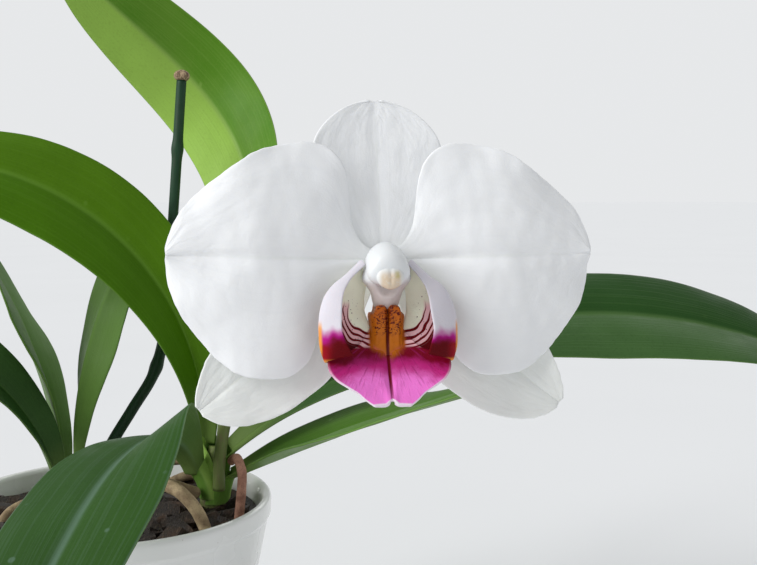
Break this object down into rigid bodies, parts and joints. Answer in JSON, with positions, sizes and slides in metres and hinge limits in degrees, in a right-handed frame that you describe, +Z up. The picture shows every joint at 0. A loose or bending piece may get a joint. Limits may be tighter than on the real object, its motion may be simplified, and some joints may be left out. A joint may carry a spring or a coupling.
{
  "type": "potted moth orchid",
  "caption": "Potted moth orchid: broad strap leaves, an arching spike with one open white bloom with a magenta lip, in a round tapered pot of bark.",
  "frame": {"origin": "middle of the pot's flat underside", "axes": "+Z up; the open bloom faces -Y, and +X is to the right as the bloom is looked at"},
  "size_m": [0.4924, 0.3425, 0.3833],
  "materials": {
    "white_glaze": "glossy white glaze",
    "bark": "rough dark bark chips",
    "stem_green": "satin living stem",
    "leaf_green": "satin leathery leaf",
    "root_tan": "matte papery root skin",
    "spike_green": "satin living stalk",
    "dark_spike": "satin dark stalk",
    "dry_end": "dry matte cut end",
    "petal_white": "soft matte petal",
    "lip_magenta": "soft satin lip",
    "callus_orange": "waxy callus",
    "anther_cream": "waxy cap"
  },
  "bodies": {
    "root": {"pot": "white_glaze", "growing_medium": "bark", "stem_main": "stem_green", "stem_side": "stem_green", "root_front": "root_tan", "root_right": "root_tan", "root_back": "root_tan", "root_left": "root_tan", "root_free": "root_tan", "leaf_left_arching": "leaf_green", "leaf_crown_tall": "leaf_green", "leaf_front_low": "leaf_green", "leaf_right_low": "leaf_green", "leaf_right_long": "leaf_green", "side_leaf_upright": "leaf_green", "side_leaf_narrow": "leaf_green", "side_leaf_broad": "leaf_green", "flower_spike": "spike_green", "pedicel": "spike_green", "cut_spike": "dark_spike", "cut_spike_end": "dry_end", "dorsal_sepal": "petal_white", "lateral_sepal_left": "petal_white", "lateral_sepal_right": "petal_white", "petal_left": "petal_white", "petal_right": "petal_white", "column": "petal_white", "lip": "lip_magenta", "lip_callus": "callus_orange", "anther_cap": "anther_cream"}
  },
  "joints": []
}
